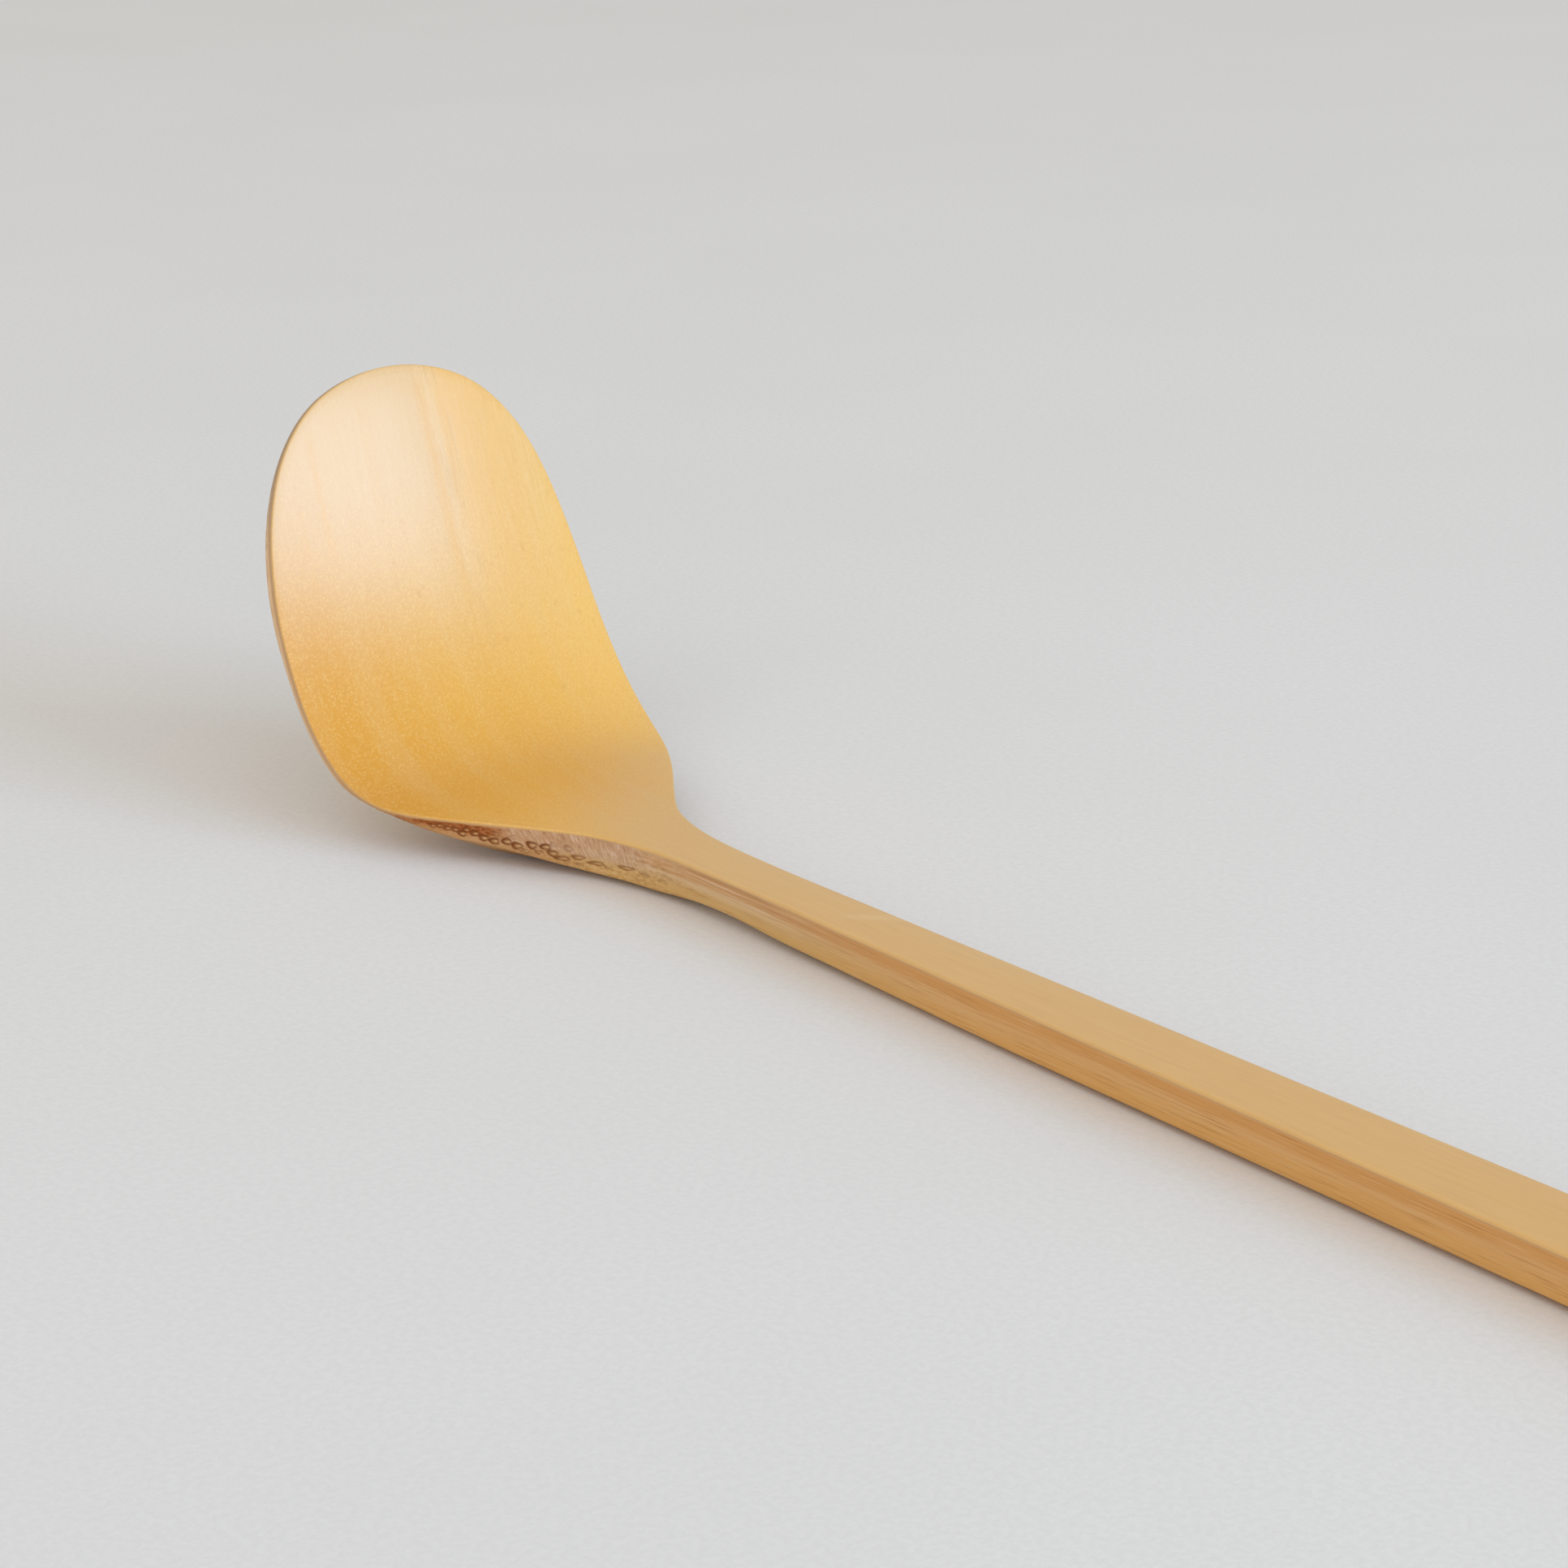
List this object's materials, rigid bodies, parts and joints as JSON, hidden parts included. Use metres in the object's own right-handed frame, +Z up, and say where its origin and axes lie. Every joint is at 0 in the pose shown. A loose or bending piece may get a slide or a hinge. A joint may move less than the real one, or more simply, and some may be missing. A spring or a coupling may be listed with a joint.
{
  "type": "tea scoop",
  "caption": "Slender bamboo tea scoop with a broad upswept oval blade, a keel under the heat bend and a straight tapering handle that lies flat.",
  "frame": {"origin": "middle of the bounding box, on the surface that the scoop lies on", "axes": "+X along the handle towards its tail, the blade at the -X end; +Z up, out of the skin face of the handle; the scoop is symmetric about the XZ plane"},
  "size_m": [0.18, 0.021, 0.024],
  "materials": {
    "skin": "smooth satin bamboo skin",
    "dense_fibre": "cut and scraped dense bamboo fibre",
    "pale_fibre": "cut pale bamboo with open bundle ends"
  },
  "bodies": {
    "root": {"bamboo_skin": "skin", "outer_wall": "dense_fibre", "inner_wall": "pale_fibre"}
  },
  "joints": []
}
